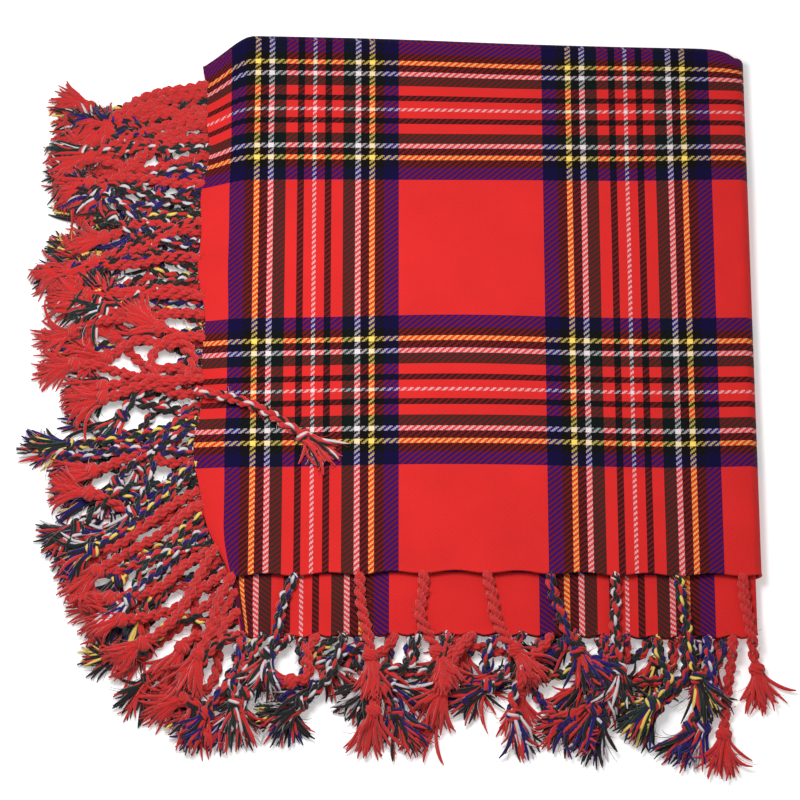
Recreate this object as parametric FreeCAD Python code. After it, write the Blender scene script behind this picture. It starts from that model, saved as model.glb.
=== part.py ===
import FreeCAD, Part
import os

# A square tartan throw with a twisted fringe on all four sides, folded in half over its top fold
# and in half again round its side fold. Four panels of the one woven sheet lie on each other:
#   level 3  front_panel_upper   the front half's left quarter, on top
#   level 2  back_panel_upper    the back half's left quarter
#   level 1  back_panel_lower    the back half's right quarter
#   level 0  front_panel_lower   the front half's right quarter, on the floor
# The two upper panels open like a book's cover, round the side fold.
# X runs along the top fold, towards the side fold. Y runs towards the top fold. Z is up.
# Lengths are in millimetres. The origin is under the middle of the whole folded throw.

# Woven sheet
PANEL_WIDTH = 458.0     # from the left edge to the side fold
FRONT_DROP = 474.0      # from the top fold to the front half's lower edge
BACK_DROP = 524.0       # the back half is a little longer and shows below the front one
CLOTH = 4.0             # one layer with the air that its nap holds
LEVEL = 5.0             # from one layer's underside to the next one's
FOLD_GAP = 0.3          # the panels stop this far short of the side fold's hinge line

# Fringe: each strand is two twisted plies, a knot and a tuft of loose yarn ends
TOP_LEFT_PITCH = 36.0   # between the strands of the top panel's left row
LEFT_PITCH = 17.0       # between the strands of the left rows below it
FRONT_PITCH = 52.0      # along the front half's lower edge
BACK_PITCH = 21.0       # along the back half's lower edge
FIRST_STRAND_DOWN = 16.0    # from the top fold to a left row's first strand
FIRST_STRAND_IN = 8.0       # from the side fold to a bottom row's first strand
STRAND_WIDTH = 8.0
STRAND_HEIGHT = CLOTH   # a strand lies flattened at the level of its own panel
STRAND_BEVEL = 1.5
LEFT_TWISTED_LENGTH = 96.0
BOTTOM_TWISTED_LENGTH = 76.0
KNOT_LENGTH = 9.0
KNOT_WIDTH = 12.0
TUFT_LENGTH = 32.0
TUFT_WIDTH = 16.0
LEFT_FRINGE = LEFT_TWISTED_LENGTH + KNOT_LENGTH + TUFT_LENGTH
BOTTOM_FRINGE = BOTTOM_TWISTED_LENGTH + KNOT_LENGTH + TUFT_LENGTH

# One strand of the top panel's left row is turned back and lies across that panel
STRAY_ROOT_DOWN = 322.0     # below the top fold
STRAY_TURN_DEG = -28.0
STRAY_TWISTED_LENGTH = 94.0

# Fold radii, to the outside of the cloth
INNER_FOLD_RADIUS = (LEVEL + CLOTH) / 2
OUTER_FOLD_RADIUS = (3 * LEVEL + CLOTH) / 2

# Place of the side fold and the top fold, with the whole object centred on the origin
SIDE_FOLD_X = (PANEL_WIDTH + LEFT_FRINGE - OUTER_FOLD_RADIUS) / 2
TOP_FOLD_Y = (BACK_DROP + BOTTOM_FRINGE - INNER_FOLD_RADIUS) / 2
LEFT_EDGE_X = SIDE_FOLD_X - PANEL_WIDTH

X_AXIS = FreeCAD.Vector(1, 0, 0)
Y_AXIS = FreeCAD.Vector(0, 1, 0)
Z_AXIS = FreeCAD.Vector(0, 0, 1)

# name: level, length from the top fold, the pitch of the strands along its left and lower edges, and
# how far along its edges the rows of strands are shifted
PANELS = {
    "front_panel_upper": (3, FRONT_DROP, TOP_LEFT_PITCH, FRONT_PITCH, 0.0),
    "back_panel_upper": (2, BACK_DROP, LEFT_PITCH, BACK_PITCH, 9.0),
    "back_panel_lower": (1, BACK_DROP, LEFT_PITCH, BACK_PITCH, 15.0),
    "front_panel_lower": (0, FRONT_DROP, LEFT_PITCH, FRONT_PITCH, 4.0),
}


def panel(level, drop):
    """A quarter of the sheet, lying flat."""
    corner = FreeCAD.Vector(LEFT_EDGE_X, TOP_FOLD_Y - drop, level * LEVEL)
    return Part.makeBox(PANEL_WIDTH - FOLD_GAP, drop, CLOTH, corner)


def fold(corner, along, length, hinge, turn_deg):
    """Cloth turned over an edge: the lower panel's end face, swept round the hinge to the upper panel."""
    up = Z_AXIS * CLOTH
    side = along * length
    end_face = Part.Face(Part.makePolygon([corner, corner + side, corner + side + up, corner + up, corner]))
    return end_face.revolve(hinge, along, turn_deg)


def top_fold(lower_level):
    """Joins a front panel to the back panel beside it, over the top edge."""
    corner = FreeCAD.Vector(LEFT_EDGE_X, TOP_FOLD_Y, lower_level * LEVEL)
    hinge = corner + Z_AXIS * INNER_FOLD_RADIUS
    return fold(corner, X_AXIS, PANEL_WIDTH - FOLD_GAP, hinge, 180)


def side_fold(radius, drop):
    """Joins a left panel to a right panel, round the hinge line."""
    hinge = FreeCAD.Vector(SIDE_FOLD_X, TOP_FOLD_Y - drop, OUTER_FOLD_RADIUS)
    return fold(hinge - Z_AXIS * radius, Y_AXIS, drop, hinge, -180)


def bevelled_section(width, x):
    """A strand's flattened outline, square to X: a rectangle whose sides come to a blunt edge."""
    half_width = width / 2
    half_height = STRAND_HEIGHT / 2
    flat = half_width - STRAND_BEVEL
    outline = [(half_width, 0), (flat, half_height), (-flat, half_height),
               (-half_width, 0), (-flat, -half_height), (flat, -half_height)]
    corners = [FreeCAD.Vector(x, y, z) for y, z in outline]
    return Part.makePolygon(corners + corners[:1])


def bar(start, length, width_start, width_end):
    """A flattened bar along X, which may widen towards its far end."""
    near = bevelled_section(width_start, start)
    far = bevelled_section(width_end, start + length)
    return Part.makeLoft([near, far], True, True)


def strand_pieces(twisted_length):
    """One strand lying along X from the origin, as its twisted length, its knot and its tuft."""
    return {
        "strands": bar(0, twisted_length, STRAND_WIDTH, STRAND_WIDTH),
        "knots": bar(twisted_length, KNOT_LENGTH, KNOT_WIDTH, KNOT_WIDTH),
        "tufts": bar(twisted_length + KNOT_LENGTH, TUFT_LENGTH, STRAND_WIDTH, TUFT_WIDTH),
    }


def placed(shape, turn_deg, at):
    """A copy of shape, turned about Z and then moved."""
    copy = shape.copy()
    copy.rotate(FreeCAD.Vector(), Z_AXIS, turn_deg)
    copy.translate(at)
    return copy


def row_places(edge_length, first, pitch):
    """Distances along an edge at which a row's strands start."""
    count = int((edge_length - FIRST_STRAND_IN - first) / pitch) + 1
    return [first + number * pitch for number in range(count)]


def left_roots(level, drop, pitch, shift):
    """Where the strands leave a panel's left edge, which faces -X."""
    z = level * LEVEL + STRAND_HEIGHT / 2
    places = row_places(drop, FIRST_STRAND_DOWN + shift, pitch)
    return [FreeCAD.Vector(LEFT_EDGE_X, TOP_FOLD_Y - down, z) for down in places]


def bottom_roots(level, drop, pitch, shift):
    """Where the strands leave a panel's lower edge, which faces -Y."""
    z = level * LEVEL + STRAND_HEIGHT / 2
    places = row_places(PANEL_WIDTH, FIRST_STRAND_IN + shift, pitch)
    return [FreeCAD.Vector(SIDE_FOLD_X - inward, TOP_FOLD_Y - drop, z) for inward in places]


def fringe_row(prefix, roots, turn_deg, twisted_length, nodes):
    """Adds a row's twisted strands, knots and tufts, each kind as one node."""
    for kind, shape in strand_pieces(twisted_length).items():
        nodes[prefix + kind] = Part.makeCompound([placed(shape, turn_deg, root) for root in roots])


def build_nodes():
    """Every node of the throw by name."""
    nodes = {}
    for name, (level, drop, left_pitch, bottom_pitch, shift) in PANELS.items():
        nodes[name] = panel(level, drop)
        left_row = name.replace("panel", "left") + "_"
        fringe_row(left_row, left_roots(level, drop, left_pitch, shift), 180, LEFT_TWISTED_LENGTH, nodes)
        bottom_row = name.replace("panel", "bottom") + "_"
        bottom_places = bottom_roots(level, drop, bottom_pitch, shift)
        fringe_row(bottom_row, bottom_places, -90, BOTTOM_TWISTED_LENGTH, nodes)
    nodes["top_fold_upper"] = top_fold(2)
    nodes["top_fold_lower"] = top_fold(0)
    nodes["side_fold_inner"] = side_fold(INNER_FOLD_RADIUS, BACK_DROP)
    nodes["side_fold_outer"] = side_fold(OUTER_FOLD_RADIUS, FRONT_DROP)
    stray_z = 3 * LEVEL + CLOTH + STRAND_HEIGHT / 2
    stray_root = FreeCAD.Vector(LEFT_EDGE_X, TOP_FOLD_Y - STRAY_ROOT_DOWN, stray_z)
    for kind, shape in strand_pieces(STRAY_TWISTED_LENGTH).items():
        nodes["stray_" + kind.rstrip("s")] = placed(shape, STRAY_TURN_DEG, stray_root)
    return nodes


os.makedirs("parts", exist_ok=True)
for node_name, node_shape in build_nodes().items():
    node_shape.exportStep(os.path.join("parts", node_name + ".step"))
    box = node_shape.BoundBox
    print(f"{node_name}: {len(node_shape.Solids)} solids, x {box.XMin:.1f}..{box.XMax:.1f},"
          f" y {box.YMin:.1f}..{box.YMax:.1f}, z {box.ZMin:.1f}..{box.ZMax:.1f}")
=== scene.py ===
import math
import random

import bpy
import numpy as np
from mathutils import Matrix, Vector


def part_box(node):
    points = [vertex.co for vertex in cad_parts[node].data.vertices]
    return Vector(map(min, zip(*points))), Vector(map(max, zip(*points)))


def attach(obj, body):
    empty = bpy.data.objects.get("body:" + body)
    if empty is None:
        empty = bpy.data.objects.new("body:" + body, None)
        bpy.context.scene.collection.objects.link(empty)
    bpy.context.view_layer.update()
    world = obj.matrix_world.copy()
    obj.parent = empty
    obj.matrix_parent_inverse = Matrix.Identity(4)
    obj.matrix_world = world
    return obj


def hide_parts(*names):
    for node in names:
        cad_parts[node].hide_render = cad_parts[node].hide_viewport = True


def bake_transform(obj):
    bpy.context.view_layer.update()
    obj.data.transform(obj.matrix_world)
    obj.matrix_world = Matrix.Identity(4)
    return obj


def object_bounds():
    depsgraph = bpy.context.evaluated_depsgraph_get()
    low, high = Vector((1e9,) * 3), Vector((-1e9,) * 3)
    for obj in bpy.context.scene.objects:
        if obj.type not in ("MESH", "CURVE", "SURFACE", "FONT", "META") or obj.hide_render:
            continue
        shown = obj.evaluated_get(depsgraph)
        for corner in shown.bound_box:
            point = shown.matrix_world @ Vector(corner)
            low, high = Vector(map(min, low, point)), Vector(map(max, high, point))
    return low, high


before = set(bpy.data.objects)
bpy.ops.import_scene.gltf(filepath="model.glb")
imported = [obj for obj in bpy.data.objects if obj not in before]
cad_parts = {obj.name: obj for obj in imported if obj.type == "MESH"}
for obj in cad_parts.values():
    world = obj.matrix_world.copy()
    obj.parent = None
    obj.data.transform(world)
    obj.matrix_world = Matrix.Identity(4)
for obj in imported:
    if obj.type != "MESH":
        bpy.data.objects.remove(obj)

# A tartan throw with a twisted fringe, folded in quarters. Lengths are in metres.
# The woven sheet is one mesh, folded over its top edge and round its side fold.
# Flat cloth coordinates: U runs across the sheet, 0 at the middle of the side fold and negative on the
# upper half; V runs down it, 0 at the top fold, positive on the front half and negative on the back half.

CAD_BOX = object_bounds()
MM = 0.001
rng = random.Random(90)

# ---------------------------------------------------------------- places taken from the frame
FRONT_LOW, FRONT_HIGH = (Vector(corner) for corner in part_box("front_panel_upper"))
BACK_LOW = Vector(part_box("back_panel_upper")[0])
FLOOR_PANEL_LOW, FLOOR_PANEL_HIGH = (Vector(corner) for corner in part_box("front_panel_lower"))
SIDE_FOLD_BOX = [Vector(corner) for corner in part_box("side_fold_outer")]
LEFT = FRONT_LOW.x
HINGE_X = SIDE_FOLD_BOX[0].x
TOP = FRONT_HIGH.y
FRONT_EDGE = FRONT_LOW.y
BACK_EDGE = BACK_LOW.y
HINGE_Z = (SIDE_FOLD_BOX[0].z + SIDE_FOLD_BOX[1].z) / 2
LEVEL = (FRONT_LOW.z - FLOOR_PANEL_LOW.z) / 3
HALF_LEVEL = LEVEL / 2
LAYER = FLOOR_PANEL_HIGH.z - FLOOR_PANEL_LOW.z
CLOTH_THICKNESS = 1.7 * MM
UPPER, LOWER = "upper_half", "lower_half"

# ---------------------------------------------------------------- the tartan
SETT_ACROSS = 265 * MM
SETT_DOWN = 253 * MM
GROUP_FROM_SIDE_FOLD = 106 * MM     # the side fold to the middle of the nearest stripe group
GROUP_FROM_TOP_FOLD = 65 * MM
WEFT_SQUEEZE = 1.05                 # a stripe group is narrower by this much down the sheet
BACK_TAKE_UP = 1.07                 # the back half's stripes lie this much closer together
WARP_PITCH = 1.43 * MM
WEFT_PITCH = 1.17 * MM
# Half of one stripe group, from its middle outwards: each colour and where it ends, as a share of the sett
STRIPES = [("white", 0.0056), ("red", 0.0315), ("black", 0.0540), ("red", 0.0910), ("green", 0.1300),
           ("white", 0.1480), ("black", 0.1750), ("yellow", 0.1925), ("black", 0.2210), ("navy", 0.2690),
           ("red", 0.5)]
YARNS = {
    "red": (0.54, 0.017, 0.016),
    "black": (0.011, 0.005, 0.007),
    "green": (0.004, 0.017, 0.014),
    "navy": (0.009, 0.002, 0.115),
    "yellow": (0.78, 0.55, 0.10),
    "white": (0.60, 0.54, 0.56),
}
YARN_SLOTS = list(YARNS)
# How often a strand is all red, from the lowest panel up: where the cloth is red, and elsewhere
RED_SHARES = [(0.3, 0.1), (0.35, 0.15), (0.7, 0.25), (1.0, 0.25)]
MIXED_COLOURS = ("black", "black", "navy", "red", "green")
ACCENT_COLOURS = ("white", "white", "red", "yellow")
PALE_NAP = 0.58                     # how much of its neighbour's colour a pale yarn takes on
RED_NEIGHBOUR_SHADE = 0.78                      # how deep the painted shade is that a dark neighbour casts on a red yarn

# ---------------------------------------------------------------- how the cloth lies
HEM_EXTRA = 0.9 * MM                # a free edge is thicker by this much
HEM_REACH = 1.8 * MM
HEM_ROWS = (0.0, 1.1, 2.2, 3.6)     # the mesh's rows beside a free edge, in millimetres
FIRST_INNER_ROW = 6.5 * MM
FRONT_ROWS = 98
BACK_ROWS = 108
TOP_FOLD_ROWS = 11
COLUMNS = 96
SIDE_FOLD_COLUMNS = 15
CORNER_DRAG = 28 * MM               # the top left corner is dragged down
DRAG_WIDTH = 46 * MM
DRAG_DEPTH = 95 * MM
BUNCH_DEPTH = 44 * MM               # the bottom left corner is pushed in
BUNCH_START = 105 * MM              # the push starts this far above the front edge
BUNCH_HEIGHT = 175 * MM             # and grows over this height
BUNCH_SOFTNESS = 14 * MM
EDGE_WIDTH = 36 * MM                # how far in the left edge's wandering reaches
TOP_FALL = 12 * MM                  # the top fold runs downhill to the right
TOP_FALL_REACH = 48 * MM
ROUNDING = 9 * MM                   # of the top right corner
ROUNDING_REACH = 14 * MM
RIM_WIDTH = 35 * MM                 # the upper pair is thinner this near its free edges
RIM_SAG = 0.12
SWELL = 3.8 * MM                    # the top panel's highest ripple
SCALLOP = 1.3 * MM                  # how far a strand pulls a lower edge down
SCALLOP_REACH = 9 * MM

# ---------------------------------------------------------------- the fringe
TOP_LEFT_PITCH = 36 * MM
LEFT_PITCH = 17 * MM
FRONT_PITCH = 52 * MM
BACK_PITCH = 21 * MM
STRAND_HALF_WIDTH = 4 * MM          # of a CAD strand
FIRST_STRAND = 8 * MM               # from the side fold to the top panel's first bottom strand
LOOP_DOWN = 268 * MM                # from the top fold to a strand that curls round
LEFT_TWISTED_LENGTH = 96 * MM
BOTTOM_TWISTED_LENGTH = 76 * MM
KNOT_LENGTH = 9 * MM
ROOT_KNOT_SIZE = 0.6                # of the end knot's
TUFT_LENGTH = 36 * MM
PLY_RADIUS = 2.3 * MM               # from the strand's middle to a ply's
YARN_RADIUS = 1.45 * MM
STRAND_RADIUS = PLY_RADIUS + 2 * YARN_RADIUS
HIGHEST_SUPPORT = 14 * MM           # strands press into a deeper pile
CEILING = 24 * MM                   # no loose end stands higher
STRAND_SINK = 4.0 * MM              # how deep the next strand presses into a strand
TUFT_SINK = 3.5 * MM
PLY_TWIST = 19 * MM                 # one turn of the two plies
YARN_TWIST = 13 * MM                # one turn of the three yarns in a ply
STEP = 1.9 * MM
COARSE_ENDS = 44                    # in each tuft
FINE_ENDS = 24
STRAY_FIBRES = 16                   # on each strand
ROOT_INSET = 1.5 * MM               # a strand starts this far inside the cloth's edge
ROOT_PINCH = 7 * MM                 # a strand reaches its full thickness over this length
LEFT_DROOP = 26 * MM                # a strand comes down from its root over this length
BOTTOM_DROOP = 40 * MM
STRAY_DROOP = 400 * MM              # longer than the strand, which stays up on the cloth
PRESSED_LENGTH = 52 * MM            # the length of a lowest bottom strand that lies under cloth
PRESSED = 0.42                      # how much the cloth flattens it
BUNDLE_WIDTH = 28 * MM              # of the cloth whose yarns go into one strand
RED_CORNER = 40 * MM                # the top panel's left strands are red this near the top fold
TOP_SLOPE = 0.42                    # radians that left strands aim down beside the top fold
CORNER_SLOPE = 0.76                 # the same near the bottom left corner
BOTTOM_SLOPE = 0.60                 # radians that bottom strands aim left near that corner
TANGLE_BY_LEVEL = (1.0, 1.0, 0.45, 0.0)     # of the left rows, from the lowest panel up


# ================================================================ materials
def node(tree, kind, **inputs):
    """A new shader node, with the named properties and sockets set."""
    made = tree.nodes.new(kind)
    for name, value in inputs.items():
        if name in made.inputs:
            made.inputs[name].default_value = value
        else:
            setattr(made, name, value)
    return made


def maths(tree, operation, first, second=None):
    """The output of a maths node fed with sockets or numbers."""
    made = node(tree, "ShaderNodeMath", operation=operation)
    for socket, value in zip(made.inputs, (first, second)):
        if isinstance(value, (int, float)):
            socket.default_value = value
        elif value is not None:
            tree.links.new(value, socket)
    return made.outputs[0]


def mix_colours(tree, share, first, second, blend="MIX"):
    """The output of a colour mix; share, first and second are sockets or values."""
    made = node(tree, "ShaderNodeMix", data_type="RGBA", blend_type=blend)
    for socket, value in zip((made.inputs[0], made.inputs[6], made.inputs[7]), (share, first, second)):
        if isinstance(value, bpy.types.NodeSocket):
            tree.links.new(value, socket)
        else:
            socket.default_value = value
    return made.outputs[2]


def wool_shader(name, sheen):
    """A rough cloth shader with a soft sheen, and its node tree."""
    material = bpy.data.materials.new(name)
    material.use_nodes = True
    tree = material.node_tree
    shader = tree.nodes["Principled BSDF"]
    shader.inputs["Roughness"].default_value = 0.92
    shader.inputs["Specular IOR Level"].default_value = 0.12
    shader.inputs["Sheen Weight"].default_value = sheen
    shader.inputs["Sheen Roughness"].default_value = 0.45
    return material, tree, shader


def noise_value(tree, vector, scale, detail=2.0):
    """A noise value from 0 to 1 at this many cycles a metre."""
    made = node(tree, "ShaderNodeTexNoise", Scale=scale, Detail=detail)
    tree.links.new(vector, made.inputs["Vector"])
    return made.outputs["Fac"]


def stripe_ramp(tree, distance, sett, centre, squeeze):
    """The colour of the yarn this far along the cloth; squeeze narrows the groups of stripes."""
    turns = maths(tree, "DIVIDE", maths(tree, "SUBTRACT", distance, centre), sett)
    share = maths(tree, "PINGPONG", turns, 0.5)
    ramp = node(tree, "ShaderNodeValToRGB")
    ramp.color_ramp.interpolation = "CONSTANT"
    start = 0.0
    for number, (colour, end) in enumerate(STRIPES):
        if number < 2:
            stop = ramp.color_ramp.elements[number]
            stop.position = 2 * start
        else:
            stop = ramp.color_ramp.elements.new(2 * start)
        stop.color = (*YARNS[colour], 1)
        start = end
    tree.links.new(maths(tree, "MULTIPLY", share, 2.0 * squeeze), ramp.inputs["Fac"])
    return ramp.outputs["Color"]


def nap_and_neighbour_shade(tree, top, under):
    """The top yarn's colour under the nap of the yarn beside it, and a brightness factor that holds the
    painted shade a dark neighbour casts on a red yarn.
    """
    over_parts = node(tree, "ShaderNodeSeparateColor")
    under_parts = node(tree, "ShaderNodeSeparateColor")
    tree.links.new(top, over_parts.inputs[0])
    tree.links.new(under, under_parts.inputs[0])
    # A pale yarn takes on its neighbour's colour; a red one gets painted shade from a dark neighbour.
    paleness = maths(tree, "MINIMUM", maths(tree, "MULTIPLY", over_parts.outputs[1], 1.5), 1.0)
    tinted = mix_colours(tree, maths(tree, "MULTIPLY", paleness, PALE_NAP), top, under)
    brightness = maths(tree, "MINIMUM", maths(tree, "DIVIDE", under_parts.outputs[0], YARNS["red"][0]), 1.0)
    darkness = maths(tree, "SUBTRACT", 1.0, brightness)
    reach = maths(tree, "MULTIPLY", maths(tree, "SUBTRACT", 1.0, paleness), RED_NEIGHBOUR_SHADE)
    return tinted, maths(tree, "SUBTRACT", 1.0, maths(tree, "MULTIPLY", reach, darkness))


def tartan_material():
    """A 2/2 twill: warp and weft stripes, with the yarn on top changing along the twill's diagonal."""
    material, tree, shader = wool_shader("tartan_twill", 0.05)
    place = node(tree, "ShaderNodeAttribute", attribute_name="cloth")
    split = node(tree, "ShaderNodeSeparateXYZ")
    tree.links.new(place.outputs["Vector"], split.inputs[0])
    across, down = split.outputs["X"], split.outputs["Y"]
    warp = stripe_ramp(tree, across, SETT_ACROSS, -GROUP_FROM_SIDE_FOLD, 1.0)
    weft = stripe_ramp(tree, down, SETT_DOWN, GROUP_FROM_TOP_FOLD, WEFT_SQUEEZE)
    wobble = noise_value(tree, place.outputs["Vector"], 90)
    warp_count = maths(tree, "DIVIDE", across, WARP_PITCH)
    weft_count = maths(tree, "DIVIDE", down, WEFT_PITCH)
    end = maths(tree, "FLOOR", warp_count)
    pick = maths(tree, "FLOOR", maths(tree, "ADD", weft_count, maths(tree, "MULTIPLY", wobble, 0.8)))
    diagonal = maths(tree, "FLOORED_MODULO", maths(tree, "ADD", end, pick), 4.0)
    weft_on_top = maths(tree, "LESS_THAN", diagonal, 2.0)
    colour = mix_colours(tree, weft_on_top, warp, weft)
    # The nap tints pale yarns; painted shade from a dark neighbour darkens red ones.
    colour, shade_from_neighbour = nap_and_neighbour_shade(tree, colour, mix_colours(tree, weft_on_top, weft, warp))
    # Each yarn is round: high along its middle, low where it dives under the next one.
    warp_round = maths(tree, "PINGPONG", warp_count, 0.5)
    weft_round = maths(tree, "PINGPONG", weft_count, 0.5)
    height = node(tree, "ShaderNodeMix", data_type="FLOAT")
    tree.links.new(weft_on_top, height.inputs[0])
    tree.links.new(warp_round, height.inputs[2])
    tree.links.new(weft_round, height.inputs[3])
    slope = maths(tree, "MULTIPLY", maths(tree, "FRACT", maths(tree, "DIVIDE", diagonal, 2.0)), 0.5)
    relief = maths(tree, "ADD", height.outputs[0], slope)
    # Painted shade darkens the colour where the relief is low, along each yarn's edges and the twill's
    # diagonal, and in broad patches that stand for soft wrinkles; the wool's fibres vary its tone, and
    # painted shade from a dark neighbour darkens red yarns.
    fibres = noise_value(tree, place.outputs["Vector"], 1900, 3.0)
    patches = noise_value(tree, place.outputs["Vector"], 22, 4.0)
    shade = maths(tree, "ADD", maths(tree, "MULTIPLY", relief, 0.30), maths(tree, "MULTIPLY", fibres, 0.30))
    shade = maths(tree, "ADD", shade, maths(tree, "MULTIPLY", patches, 0.26))
    shade = maths(tree, "MULTIPLY", maths(tree, "ADD", shade, 0.60), shade_from_neighbour)
    grey = node(tree, "ShaderNodeCombineColor")
    for socket in grey.inputs[:3]:
        tree.links.new(shade, socket)
    tree.links.new(mix_colours(tree, 1.0, colour, grey.outputs[0], "MULTIPLY"), shader.inputs["Base Color"])
    bump = node(tree, "ShaderNodeBump", Strength=0.55, Distance=0.5 * MM)
    puckers = maths(tree, "ADD", maths(tree, "MULTIPLY", fibres, 0.5), maths(tree, "MULTIPLY", patches, 2.5))
    tree.links.new(maths(tree, "ADD", relief, puckers), bump.inputs["Height"])
    tree.links.new(bump.outputs[0], shader.inputs["Normal"])
    return material


def yarn_material(colour):
    """Spun yarn of one colour, with darker and paler fibres in it."""
    material, tree, shader = wool_shader("yarn_" + colour, 0.35)
    place = node(tree, "ShaderNodeTexCoord")
    fibres = noise_value(tree, place.outputs["Object"], 1500, 4.0)
    patches = noise_value(tree, place.outputs["Object"], 60)
    base = YARNS[colour]
    dark = (*(0.55 * part for part in base), 1)
    pale = (*(min(1.0, 1.12 * part + 0.012) for part in base), 1)
    spun = mix_colours(tree, fibres, dark, pale)
    worn = mix_colours(tree, maths(tree, "MULTIPLY", patches, 0.35), spun, (*base, 1))
    tree.links.new(worn, shader.inputs["Base Color"])
    bump = node(tree, "ShaderNodeBump", Strength=0.6, Distance=0.4 * MM)
    tree.links.new(fibres, bump.inputs["Height"])
    tree.links.new(bump.outputs[0], shader.inputs["Normal"])
    return material


# ================================================================ the woven sheet
def ease(value):
    """A smooth step from 0 to 1, clipped at both ends."""
    value = np.clip(value, 0.0, 1.0)
    return value * value * (3 - 2 * value)


def ripple(x, y):
    """Long gentle waves, from 0 to 1."""
    total = np.sin(19 * x + 7 * y + 0.6) + np.sin(11 * x - 23 * y + 2.1)
    total = total + 0.6 * np.sin(37 * x + 31 * y + 4.0) + 0.5 * np.sin(-29 * x + 47 * y + 1.2)
    return 0.5 + total / 6.2


def settle(x, y, z):
    """Moves points of the neat fold to where the soft cloth lies."""
    x, y, z = (np.asarray(part, float) for part in (x, y, z))
    from_left = x - LEFT
    from_top = np.maximum(TOP - y, 0)
    # The top left corner is dragged down and rounded by its fringe.
    drag = ease(1 - from_left / DRAG_WIDTH) * np.exp(-from_top / DRAG_DEPTH)
    new_y = y - CORNER_DRAG * drag
    # The bottom left corner is bunched up behind a slanting line.
    near_corner = ease((FRONT_EDGE + BUNCH_START - y) / BUNCH_HEIGHT)
    bunched = LEFT + BUNCH_DEPTH * near_corner + BUNCH_SOFTNESS
    behind = np.maximum(bunched - x, 0)
    new_x = x + behind - BUNCH_SOFTNESS * (1 - np.exp(-behind / BUNCH_SOFTNESS))
    # The left edge wanders a little.
    edge = ease(1 - from_left / EDGE_WIDTH)
    new_x = new_x + edge * (3.0 * MM * np.sin(31 * y + 0.4) + 1.6 * MM * np.sin(83 * y + 2.0))
    # The top fold runs a little downhill to the right, and its right corner is rounded.
    new_y = new_y - TOP_FALL * ease(from_left / (HINGE_X - LEFT)) * np.exp(-from_top / TOP_FALL_REACH)
    from_hinge = np.maximum(HINGE_X - x, 0)
    new_y = new_y - ROUNDING * np.exp(-from_hinge / ROUNDING - from_top / ROUNDING_REACH)
    # The lower edges wave gently.
    new_y = new_y + 1.4 * MM * np.sin(17 * x + 0.8) * ease((TOP - 90 * MM - y) / (200 * MM))
    # The upper pair sinks towards its free edges and ripples; the lower pair lies flat on the floor.
    above = np.maximum(z - HINGE_Z, 0)
    rim = ease(1 - np.minimum(from_left, y - BACK_EDGE) / RIM_WIDTH)
    swell = SWELL * ripple(x, y) * (1 - rim) * above / (3 * HALF_LEVEL)
    new_z = z - RIM_SAG * above * rim + swell
    return new_x, new_y, new_z


def from_free_edge(length, count):
    """Distances from a free edge to a fold, closer together beside the edge."""
    return np.concatenate([np.array(HEM_ROWS) * MM, np.linspace(FIRST_INNER_ROW, length, count)])


def sheet_rows():
    """Down the sheet: V, the place along Y, and the offset from the middle of its pair of layers."""
    front_down = TOP - FRONT_EDGE - from_free_edge(TOP - FRONT_EDGE, FRONT_ROWS)
    back_down = (TOP - BACK_EDGE - from_free_edge(TOP - BACK_EDGE, BACK_ROWS))[::-1]
    front = [(down, TOP - down, HALF_LEVEL) for down in front_down]
    turn = np.linspace(0, math.pi, TOP_FOLD_ROWS)[1:-1]
    arc = math.pi * HALF_LEVEL
    over = [((0.5 - angle / math.pi) * arc, TOP + 1.5 * HALF_LEVEL * math.sin(angle),
             HALF_LEVEL * math.cos(angle)) for angle in turn]
    back = [(-BACK_TAKE_UP * down, TOP - down, -HALF_LEVEL) for down in back_down]
    return np.array(front + over + back)


def sheet_columns():
    """Across the sheet: distance left of the hinge line, and the angle round it from +X, in radians."""
    flat = HINGE_X - LEFT - from_free_edge(HINGE_X - LEFT, COLUMNS)
    upper = [(distance, math.pi / 2) for distance in flat]
    turned = [(0.0, angle) for angle in np.linspace(math.pi / 2, -math.pi / 2, SIDE_FOLD_COLUMNS)[1:-1]]
    lower = [(distance, -math.pi / 2) for distance in flat[::-1]]
    return np.array(upper + turned + lower)


def folded_sheet():
    """Rest positions, flat cloth coordinates and thickness at the points of the folded sheet's grid."""
    down, place, offset = sheet_rows().T[:, :, None]
    distance, angle = sheet_columns().T[:, None, :]
    radius = 2 * HALF_LEVEL + offset
    x = HINGE_X - distance + radius * np.cos(angle)
    z = HINGE_Z + radius * np.sin(angle)
    across = -(distance + radius * math.pi / 2) * np.sign(angle)
    turning = distance + 0 * radius < 1e-9
    across = np.where(turning, -radius * angle, across)
    y = place + 0 * x
    y = y - np.where(offset > 0, scallop(x, y, FRONT_EDGE, FRONT_PITCH), scallop(x, y, BACK_EDGE, BACK_PITCH))
    free = np.minimum(HINGE_X - LEFT - distance, np.where(offset > 0, place - FRONT_EDGE, place - BACK_EDGE))
    thickness = CLOTH_THICKNESS + HEM_EXTRA * np.exp(-(free / HEM_REACH) ** 2)
    x, y, z = settle(x, y, z)
    points = np.stack([x, y, z], axis=-1)
    cloth = np.stack([across + 0 * x, down + 0 * x, 0 * x], axis=-1)
    return points, cloth, thickness


def scallop(x, y, edge, pitch):
    """How far a lower edge is pulled down where each strand leaves it."""
    pull = SCALLOP * np.cos(2 * math.pi * (HINGE_X - FIRST_STRAND - x) / pitch)
    return pull * np.exp(-np.maximum(y - edge, 0) / SCALLOP_REACH)


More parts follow.
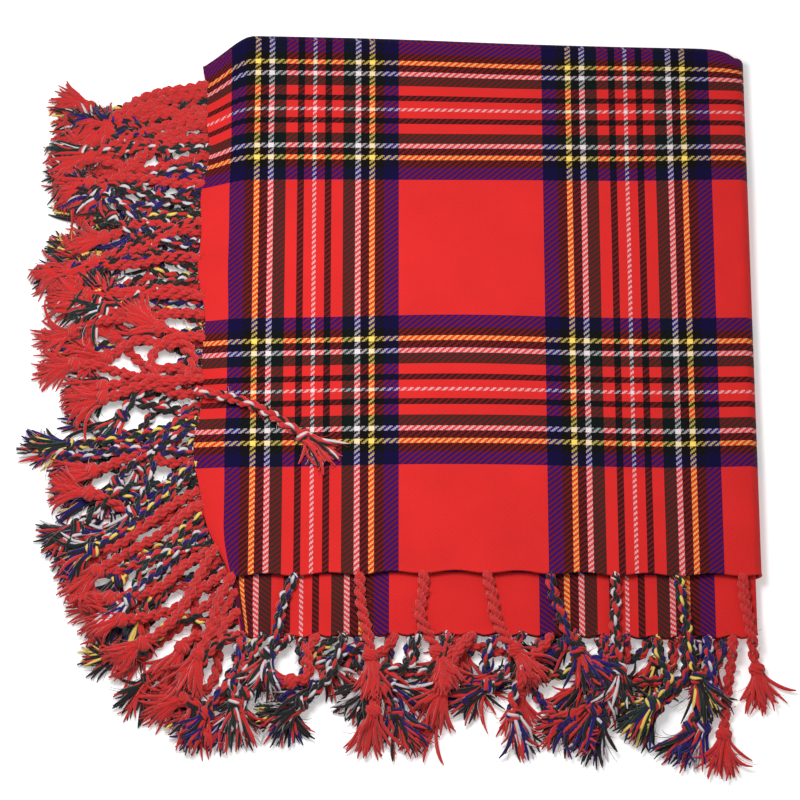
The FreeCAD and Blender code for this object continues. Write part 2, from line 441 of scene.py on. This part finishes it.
def thick_sheet(points, cloth, thickness):
    """A closed mesh round a grid of points: vertices, cloth coordinates and faces."""
    along = np.gradient(points, axis=0)
    over = np.gradient(points, axis=1)
    normal = np.cross(over, along)
    normal = normal / np.linalg.norm(normal, axis=-1, keepdims=True)
    rows, columns = points.shape[:2]
    outer = (points - normal * thickness[..., None] / 2).reshape(-1, 3)
    inner = (points + normal * thickness[..., None] / 2).reshape(-1, 3)
    index = np.arange(rows * columns).reshape(rows, columns)
    shift = rows * columns
    quads = np.stack([index[:-1, :-1], index[:-1, 1:], index[1:, 1:], index[1:, :-1]], -1).reshape(-1, 4)
    loop = np.concatenate([index[0, :-1], index[:-1, -1], index[-1, :0:-1], index[:0:-1, 0]])
    following = np.roll(loop, -1)
    rim = np.stack([following, loop, loop + shift, following + shift], -1)
    faces = np.concatenate([quads, quads[:, ::-1] + shift, rim])
    return np.concatenate([outer, inner]), np.tile(cloth.reshape(-1, 3), (2, 1)), faces


def mesh_object(name, vertices, faces, materials, slots=None):
    """A smooth shaded mesh object; slots gives each face's material number."""
    mesh = bpy.data.meshes.new(name)
    mesh.from_pydata(vertices.tolist(), [], faces.tolist())
    for material in materials:
        mesh.materials.append(material)
    if slots is not None:
        mesh.polygons.foreach_set("material_index", slots.astype(np.int32))
    mesh.polygons.foreach_set("use_smooth", np.ones(len(mesh.polygons), bool))
    mesh.update()
    made = bpy.data.objects.new(name, mesh)
    bpy.context.scene.collection.objects.link(made)
    return made


def set_cloth_coordinates(piece, cloth):
    """Stores the flat cloth coordinates that the tartan is woven from."""
    stored = piece.data.attributes.new("cloth", "FLOAT_VECTOR", "POINT")
    stored.data.foreach_set("vector", cloth.astype(np.float32).ravel())


# ================================================================ tubes
def tube(path, radii, sides):
    """A round tube along path, open at its ends. radii is one radius or one for each point."""
    count = len(path)
    radii = np.broadcast_to(radii, (count,)).copy()
    tangent = np.gradient(path, axis=0)
    tangent /= np.linalg.norm(tangent, axis=1, keepdims=True) + 1e-12
    side = np.cross(tangent, (0.13, 0.21, 1.0))
    side /= np.linalg.norm(side, axis=1, keepdims=True) + 1e-12
    up = np.cross(side, tangent)
    angle = np.linspace(0, 2 * math.pi, sides, endpoint=False)
    ring = np.cos(angle)[None, :, None] * side[:, None] + np.sin(angle)[None, :, None] * up[:, None]
    vertices = (path[:, None] + radii[:, None, None] * ring).reshape(-1, 3)
    index = np.arange(count * sides).reshape(count, sides)
    around = np.roll(index, -1, axis=1)
    quads = np.stack([index[:-1], index[1:], around[1:], around[:-1]], -1).reshape(-1, 4)
    return vertices, quads


class Bundle:
    """Gathers many tubes, and their colours, into one mesh."""

    def __init__(self):
        self.vertices, self.faces, self.slots, self.count = [], [], [], 0

    def add(self, path, radii, sides, colour):
        """Adds one tube in one yarn colour."""
        vertices, quads = tube(path, radii, sides)
        self.vertices.append(vertices)
        self.faces.append(quads + self.count)
        self.slots.append(np.full(len(quads), YARN_SLOTS.index(colour)))
        self.count += len(vertices)

    def piece(self, name):
        """All the tubes as one mesh object."""
        return mesh_object(name, np.concatenate(self.vertices), np.concatenate(self.faces), YARN_MATERIALS,
                           np.concatenate(self.slots))


# ================================================================ the fringe
def stripe_colour(distance, sett, centre):
    """The yarn colour that lies this far along the cloth."""
    turns = abs((distance - centre) / sett) % 1.0
    share = min(turns, 1 - turns)
    return next(colour for colour, end in STRIPES if share <= end)


def bundle_colours(panel, distance, sett, centre):
    """The six yarns of a strand: all red, or mostly the dark stripe colours of the cloth round its root."""
    places = [distance + (number - 2.5) / 6 * BUNDLE_WIDTH for number in range(6)]
    colours = [stripe_colour(place, sett, centre) for place in places]
    mostly_red = colours.count("red") > 3
    if rng.random() < RED_SHARES[panel["level"]][0 if mostly_red else 1]:
        return ["red"] * 6
    dark = ("black", "navy", "green")
    colours = [colour if colour in dark else rng.choice(MIXED_COLOURS) for colour in colours]
    colours[0] = rng.choice(ACCENT_COLOURS)
    colours[1] = "red"
    rng.shuffle(colours)
    return colours


class Pile:
    """How high the fringe and the cloth already reach, on a grid over the floor."""

    CELL = 1.5 * MM
    MARGIN = 60 * MM

    def __init__(self):
        low, high = (np.array(corner) for corner in CAD_BOX)
        self.low = low[:2] - self.MARGIN
        shape = np.ceil((high[:2] + self.MARGIN - self.low) / self.CELL).astype(int)
        self.height = np.zeros(shape)

    def cells(self, x, y):
        """The grid cells that hold these places."""
        where = ((np.stack([x, y], -1) - self.low) / self.CELL).astype(int)
        return np.clip(where, 0, np.array(self.height.shape) - 1)

    def raise_panel(self, low, height):
        """Adds a cloth panel that reaches from low to the side and top folds."""
        first = self.cells(np.array(low[0]), np.array(low[1]))
        last = self.cells(np.array(HINGE_X), np.array(TOP))
        block = self.height[first[0]:last[0], first[1]:last[1]]
        np.maximum(block, height, out=block)

    def disc(self, radius):
        """Offsets to the cells within this radius of a cell."""
        reach = int(radius / self.CELL)
        span = range(-reach, reach + 1)
        return [(i, j) for i in span for j in span if (i * i + j * j) * self.CELL ** 2 <= radius * radius]

    def support(self, path, radius):
        """The height under each point of a path with this radius."""
        cells = self.cells(path[:, 0], path[:, 1])
        limit = np.array(self.height.shape) - 1
        found = np.zeros(len(path))
        for offset in self.disc(radius):
            around = np.clip(cells + offset, 0, limit)
            found = np.maximum(found, self.height[around[:, 0], around[:, 1]])
        return found

    def lay(self, path, radius, sink):
        """Raises the pile by a strand along path; sink is how deep the next one presses into it."""
        cells = self.cells(path[:, 0], path[:, 1])
        limit = np.array(self.height.shape) - 1
        top = path[:, 2] + radius - sink
        for offset in self.disc(radius):
            around = np.clip(cells + offset, 0, limit)
            np.maximum.at(self.height, (around[:, 0], around[:, 1]), top)


def smooth(values, window):
    """A moving average that keeps its ends."""
    padded = np.pad(values, window, mode="edge")
    kernel = np.ones(2 * window + 1) / (2 * window + 1)
    return np.convolve(padded, kernel, "same")[window:-window]


def wandering_path(root, heading, bend, sway, length):
    """A strand's line: it leaves root at heading, and bends and sways along its length at root's height."""
    count = int(length / STEP)
    share = np.linspace(0, 1, count)
    swing, waves, phase = sway
    turn = heading + bend * share + swing * (np.sin(2 * math.pi * waves * share + phase) - math.sin(phase))
    steps = np.stack([np.cos(turn), np.sin(turn)], -1) * length / count
    flat = np.cumsum(steps, axis=0) + np.array(root[:2])
    flat = np.concatenate([[root[:2]], flat[:-1]])
    return np.concatenate([flat, np.full((count, 1), root[2])], axis=1)


def girth(path):
    """A strand's thickness along its length, as a share: it is pinched where it leaves the cloth."""
    return 0.58 + 0.42 * ease(np.arange(len(path)) * STEP / ROOT_PINCH)


def rest_on(pile, path, root_z, radius, droop):
    """Lets a path down from its root onto the pile."""
    support = np.minimum(pile.support(path, radius * 0.8), HIGHEST_SUPPORT)
    distance = np.arange(len(path)) * STEP
    hanging = root_z * (1 - ease(distance / droop))
    floor = np.maximum(support + radius, radius)
    wanted = np.maximum(np.where(distance < 6 * MM, root_z, floor), hanging)
    height = smooth(smooth(wanted, 6), 5)
    height = np.maximum(height, support + 0.55 * radius)
    blend = ease(distance / (9 * MM))
    path[:, 2] = root_z * (1 - blend) + height * blend
    return path


def clear_of_floor(path, flatten):
    """Keeps a strand of this flatness above the floor."""
    path[:, 2] = np.maximum(path[:, 2], STRAND_RADIUS * girth(path) * flatten)


def strand_frame(path):
    """Forward, sideways and upward directions along a path."""
    tangent = np.gradient(path, axis=0)
    tangent /= np.linalg.norm(tangent, axis=1, keepdims=True)
    side = np.cross(tangent, (0, 0, 1.0))
    side /= np.linalg.norm(side, axis=1, keepdims=True)
    return tangent, side, np.cross(side, tangent)


def twisted_yarns(bundle, path, colours, flatten):
    """Two plies of three yarns each, twisted along path. flatten squeezes them where cloth lies on them."""
    side, up = strand_frame(path)[1:]
    distance = np.arange(len(path)) * STEP
    start = rng.uniform(0, 2 * math.pi)
    for ply in range(2):
        ply_turn = 2 * math.pi * distance / PLY_TWIST + ply * math.pi + start
        for yarn in range(3):
            yarn_turn = -2 * math.pi * distance / YARN_TWIST + yarn * 2 * math.pi / 3
            sideways = (PLY_RADIUS * np.cos(ply_turn) + YARN_RADIUS * np.cos(yarn_turn)) * girth(path)
            upward = (PLY_RADIUS * np.sin(ply_turn) + YARN_RADIUS * np.sin(yarn_turn)) * girth(path) * flatten
            line = path + sideways[:, None] * side + upward[:, None] * up
            bundle.add(line, YARN_RADIUS * girth(path) * flatten, 6, colours[ply * 3 + yarn])


def knot_yarns(bundle, path, colours, size=1.0, points=36):
    """A knot: each ply wraps once and a third round the strand."""
    tangent, side, up = strand_frame(path)
    middle = len(path) // 2
    share = np.linspace(0, 1, points)
    for ply in range(2):
        wrap = 2 * math.pi * 1.3 * share + ply * math.pi + rng.uniform(0, 1)
        radius = 3.9 * MM * size * (0.75 + 0.4 * np.sin(math.pi * share))
        for yarn in range(3):
            yarn_turn = 2 * math.pi * 2.2 * share + yarn * 2 * math.pi / 3
            reach = radius + YARN_RADIUS * size * np.cos(yarn_turn)
            forward = ((share - 0.5) * 6 * MM + YARN_RADIUS * np.sin(yarn_turn)) * size
            line = (path[middle] + (reach * np.cos(wrap))[:, None] * side[middle]
                    + (0.8 * reach * np.sin(wrap))[:, None] * up[middle] + forward[:, None] * tangent[middle])
            line[:, 2] = np.maximum(line[:, 2], YARN_RADIUS)
            bundle.add(line, YARN_RADIUS * size, 6, colours[ply * 3 + yarn])


def tuft_yarns(bundle, pile, end, heading, colours):
    """Loose yarn ends that fan out from the knot, with a few finer stray fibres."""
    lean = rng.uniform(-0.25, 0.25)
    for number in range(COARSE_ENDS + FINE_ENDS):
        fine = number >= COARSE_ENDS
        colour = colours[number % 6]
        spread = rng.gauss(0, 0.26) + lean * 0.4
        length = TUFT_LENGTH * rng.uniform(0.60, 1.02)
        curl = rng.gauss(lean, 0.42) * (2.2 if fine else 1.0)
        share = np.linspace(0, 1, 8)
        offset = rng.gauss(0, 2.0 * MM)
        sideways = np.array([-math.sin(heading), math.cos(heading)]) * offset
        turn = heading + (spread + 80 * offset) * ease(share * 2.5) + curl * share ** 2
        steps = np.stack([np.cos(turn), np.sin(turn)], -1) * length / 7
        flat = np.cumsum(steps, axis=0) - steps[0]
        line = np.zeros((8, 3))
        line[:, :2] = end[:2] + sideways + flat
        support = np.minimum(pile.support(line, 1.5 * MM), end[2] + 4 * MM)
        rise = abs(rng.gauss(0, 3.0 * MM)) + 1.1 * MM
        line[:, 2] = (end[2] + rng.gauss(0, 1.2 * MM)) * (1 - share) + (support + rise) * share
        line[:, 2] = np.clip(line[:, 2], 1.5 * MM, CEILING)
        thickness = 0.28 * MM if fine else rng.uniform(1.2, 1.9) * MM
        bundle.add(line, thickness * (0.75 + 0.5 * share - 0.95 * share ** 4), 3 if fine else 5, colour)


def stray_fibres(bundle, path, colours):
    """Short fine fibres that stand off a twisted strand."""
    for number in range(STRAY_FIBRES):
        at = path[rng.randrange(2, len(path) - 2)]
        turn = rng.uniform(0, 2 * math.pi)
        lift = rng.uniform(-0.3, 0.9)
        share = np.linspace(0, 1, 5)[:, None]
        away = np.array([math.cos(turn), math.sin(turn), lift])
        swerve = np.array([math.cos(turn + 1.4), math.sin(turn + 1.4), 0])
        line = at + away * (2 * MM + 5.5 * MM * share) + swerve * 3 * MM * share ** 2
        line[:, 2] = np.maximum(line[:, 2], 0.3 * MM)
        bundle.add(line, 0.16 * MM, 3, colours[number % 6])


def add_strand(bundles, pile, strand):
    """One strand: its small root knot, twisted length, end knot and tuft."""
    path = wandering_path(strand["root"], strand["heading"], strand["bend"], strand["sway"],
                          strand["length"] + KNOT_LENGTH)
    path = rest_on(pile, path, strand["root"][2], STRAND_RADIUS * 0.92, strand["droop"])
    distance = np.arange(len(path)) * STEP
    flatten = 1 - strand["pressed"] * (1 - ease((distance - PRESSED_LENGTH) / (12 * MM)))
    clear_of_floor(path, flatten)
    knot_at = len(path) - int(KNOT_LENGTH / STEP)
    twisted_yarns(bundles["strands"], path, strand["colours"], flatten)
    stray_fibres(bundles["strands"], path, strand["colours"])
    knot_yarns(bundles["knots"], path[knot_at:], strand["colours"])
    knot_yarns(bundles["strands"], path[:4], strand["colours"], ROOT_KNOT_SIZE * flatten[0], 16)
    last = path[-1] - path[-4]
    heading = math.atan2(last[1], last[0])
    tuft_yarns(bundles["tufts"], pile, path[-1], heading, strand["colours"])
    pile.lay(path, STRAND_RADIUS * 0.9, STRAND_SINK)
    tip = path[-1] + np.linspace(0, TUFT_LENGTH * 0.8, 10)[:, None] * last / np.linalg.norm(last)
    tip[:, 2] = np.linspace(path[-1][2], path[-1][2] * 0.6 + 1 * MM, 10)
    pile.lay(tip, 5 * MM, TUFT_SINK)


def along_row(node_name, axis, pitch):
    """The places of a row's roots, evenly spaced inside its strands' box."""
    low, high = (corner[axis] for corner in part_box(node_name))
    first, last = low + STRAND_HALF_WIDTH, high - STRAND_HALF_WIDTH
    return np.linspace(last, first, round((last - first) / pitch) + 1)


def curl(outward, heading, spread, swing, limit):
    """A random bend and sway; limit holds the least and greatest turn of the end from outward."""
    while True:
        bend = rng.gauss(0, spread)
        sway = (rng.uniform(0.05, swing), rng.uniform(0.6, 1.6), rng.uniform(0, 6.3))
        end = heading + bend + sway[0] * (math.sin(2 * math.pi * sway[1] + sway[2]) - math.sin(sway[2]))
        if limit[0] < end - outward < limit[1]:
            return bend, sway


def left_strand(panel, y):
    """A strand of a left row: level at mid height, aimed down beside the top fold and the corner."""
    down = TOP - y
    share = down / (TOP - BACK_EDGE)
    x, y_soft, z = (float(part) for part in settle(LEFT, y, panel["z"]))
    root = (x + ROOT_INSET, y_soft, z)
    slope = TOP_SLOPE * math.exp(-share / 0.14) + CORNER_SLOPE * float(ease((share - 0.44) / 0.42))
    tangle = float(ease(share / 0.2)) * TANGLE_BY_LEVEL[panel["level"]]
    if panel["level"] == 3 and abs(down - LOOP_DOWN) < TOP_LEFT_PITCH / 2:
        return loop_strand(root)
    cloth_down = down if panel["front"] else -BACK_TAKE_UP * down
    colours = bundle_colours(panel, cloth_down, SETT_DOWN, GROUP_FROM_TOP_FOLD)
    heading = math.pi + slope + rng.gauss(0, 0.16)
    limit = (-tangle, 0.7 + tangle)
    bend, sway = curl(math.pi, heading, 0.2 + 0.33 * tangle, 0.3 + 0.4 * tangle, limit)
    return {
        "root": root,
        "heading": heading,
        "bend": bend,
        "sway": sway,
        "length": LEFT_TWISTED_LENGTH * rng.uniform(0.84 if tangle else 0.94, 1.08 + 0.08 * share),
        "droop": LEFT_DROOP,
        "pressed": 0.0,
        "colours": ["red"] * 6 if panel["level"] == 3 and down < RED_CORNER else colours,
    }


def loop_strand(root):
    """The red strand on top of the left fringe that curls round into a ring."""
    # Half a wave of sway turns its heading almost all the way round.
    return {
        "root": root,
        "heading": math.pi - 0.1,
        "bend": 0.0,
        "sway": (3.0, 0.5, -math.pi / 2),
        "length": 1.6 * LEFT_TWISTED_LENGTH,
        "droop": LEFT_DROOP,
        "pressed": 0.0,
        "colours": ["red"] * 6,
    }


def bottom_strand(panel, x):
    """A strand of a bottom row: straight down on top, more tangled on the layers below."""
    share = (HINGE_X - x) / (HINGE_X - LEFT)
    x_soft, y, z = (float(part) for part in settle(x, panel["edge"], panel["z"]))
    radius = HALF_LEVEL * (3 if panel["front"] else 1)
    cloth_across = -(HINGE_X - x + radius * math.pi / 2)
    tangle = min(0.25 if panel["level"] == 3 else 1.0, share * 5)
    slope = -BOTTOM_SLOPE * float(ease((share - 0.60) / 0.4))
    slope = slope - 0.12 * tangle - 0.10 * math.exp(-share / 0.05)
    heading = -math.pi / 2 + slope + rng.gauss(0, 0.10 + 0.32 * tangle)
    bend, sway = curl(-math.pi / 2, heading, 0.15 + 0.85 * tangle, 0.10 + 0.7 * tangle, (-1.6, 1.5))
    return {
        "root": (x_soft, y + ROOT_INSET, z),
        "heading": heading,
        "bend": bend,
        "sway": sway,
        "length": BOTTOM_TWISTED_LENGTH * rng.uniform(0.95 - 0.36 * tangle, 1.15 - 0.13 * tangle),
        "droop": BOTTOM_DROOP,
        "pressed": PRESSED if panel["level"] == 0 else 0.0,
        "colours": bundle_colours(panel, cloth_across, SETT_ACROSS, -GROUP_FROM_SIDE_FOLD),
    }


def panel_rows(name, level, body):
    """The facts of one panel's two fringe rows; the level counts from the floor up."""
    front = name.startswith("front")
    return {
        "name": name,
        "level": level,
        "front": front,
        "z": level * LEVEL + LAYER / 2,
        "edge": FRONT_EDGE if front else BACK_EDGE,
        "left": TOP_LEFT_PITCH if level == 3 else LEFT_PITCH,
        "bottom": FRONT_PITCH if front else BACK_PITCH,
        "body": body,
    }


PANELS = [
    panel_rows("front_{}_lower", 0, LOWER),
    panel_rows("back_{}_lower", 1, LOWER),
    panel_rows("back_{}_upper", 2, UPPER),
    panel_rows("front_{}_upper", 3, UPPER),
]
KIND_SLOTS = {"strands": "fringe_twist", "knots": "fringe_knot", "tufts": "fringe_tuft"}


def finish_bundles(bundles, name, body, nodes):
    """Turns the bundles of a row into pieces that stand for the row's CAD nodes."""
    made = []
    for kind, bundle in bundles.items():
        piece = bundle.piece(f"{name}_{kind}_yarn")
        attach(piece, body)
        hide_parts(nodes[kind])
        made.append(piece)
    return made


def fringe(pile):
    """All eight rows, from the floor up."""
    made = []
    for panel in PANELS:
        for side, axis, maker in (("left", 1, left_strand), ("bottom", 0, bottom_strand)):
            row = panel["name"].format(side)
            bundles = {kind: Bundle() for kind in KIND_SLOTS}
            for place in along_row(row + "_strands", axis, panel[side]):
                add_strand(bundles, pile, maker(panel, place))
            nodes = {kind: f"{row}_{kind}" for kind in KIND_SLOTS}
            made += finish_bundles(bundles, row, panel["body"], nodes)
        pile.raise_panel((LEFT, panel["edge"]), panel["z"] + 1 * MM)
    return made


def stray_strand(pile):
    """The strand that is turned back over the top panel."""
    low, high = (Vector(corner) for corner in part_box("stray_strand"))
    bundles = {kind: Bundle() for kind in KIND_SLOTS}
    add_strand(bundles, pile, {
        "root": (low.x + 1 * MM, high.y, low.z + STRAND_RADIUS),
        "heading": math.radians(-14),
        "bend": -0.32,
        "sway": (0.10, 1.0, 0.0),
        "length": LEFT_TWISTED_LENGTH,
        "droop": STRAY_DROOP,
        "pressed": 0.0,
        "colours": ["red", "black", "red", "white", "red", "red"],
    })
    nodes = {"strands": "stray_strand", "knots": "stray_knot", "tufts": "stray_tuft"}
    return finish_bundles(bundles, "stray", UPPER, nodes)


# ================================================================ build
TARTAN = tartan_material()
YARN_MATERIALS = [yarn_material(colour) for colour in YARN_SLOTS]

grid, cloth_grid, sheet_thickness = folded_sheet()
vertices, cloth_places, sheet_faces = thick_sheet(grid, cloth_grid, sheet_thickness)
throw = mesh_object("woven_throw", vertices, sheet_faces, [TARTAN])
set_cloth_coordinates(throw, cloth_places)
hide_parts("front_panel_upper", "back_panel_upper", "back_panel_lower", "front_panel_lower",
            "top_fold_upper", "top_fold_lower", "side_fold_inner", "side_fold_outer")
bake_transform(throw)

pile = Pile()
fringe_pieces = fringe(pile)
fringe_pieces += stray_strand(pile)


# ================================================================ stage, light and camera
def floor():
    """A plain pale floor."""
    size = 6.0
    corners = np.array([(-size, -size, 0), (size, -size, 0), (size, size, 0), (-size, size, 0)])
    material = bpy.data.materials.new("pale_floor")
    material.use_nodes = True
    shader = material.node_tree.nodes["Principled BSDF"]
    shader.inputs["Base Color"].default_value = (0.80, 0.80, 0.80, 1)
    shader.inputs["Emission Color"].default_value = (1, 1, 1, 1)
    shader.inputs["Emission Strength"].default_value = 0.30
    shader.inputs["Roughness"].default_value = 0.95
    shader.inputs["Specular IOR Level"].default_value = 0.1
    made = mesh_object("studio_floor", corners, np.array([[0, 1, 2, 3]]), [material])


def softbox(name, place, size, power):
    """A square area light aimed at the throw."""
    light = bpy.data.lights.new(name, "AREA")
    light.size = size
    light.energy = power
    made = bpy.data.objects.new(name, light)
    made.location = place
    made.rotation_euler = (-Vector(place)).to_track_quat("-Z", "Y").to_euler()
    bpy.context.scene.collection.objects.link(made)


def camera():
    """Looks down on the throw from its bottom edge's side, a little off vertical."""
    elevation = math.radians(72)
    distance = 2.6
    view_width = 0.664
    aim = Vector((0.006, -0.0055, 0.012))
    lens = bpy.data.cameras.new("camera")
    lens.lens = lens.sensor_width * distance / view_width
    made = bpy.data.objects.new("camera", lens)
    made.location = aim + distance * Vector((0, -math.cos(elevation), math.sin(elevation)))
    made.rotation_euler = (aim - made.location).to_track_quat("-Z", "Y").to_euler()
    bpy.context.scene.collection.objects.link(made)
    bpy.context.scene.camera = made


floor()
softbox("key_light", (-0.13, 0.09, 0.76), 0.32, 6.8)
softbox("fill_light", (1.2, -0.9, 1.8), 1.8, 3)
world = bpy.data.worlds.new("studio")
world.use_nodes = True
world.node_tree.nodes["Background"].inputs[0].default_value = (1, 1, 1, 1)
world.node_tree.nodes["Background"].inputs[1].default_value = 0.45
bpy.context.scene.world = world
bpy.context.scene.view_settings.view_transform = "Standard"
camera()
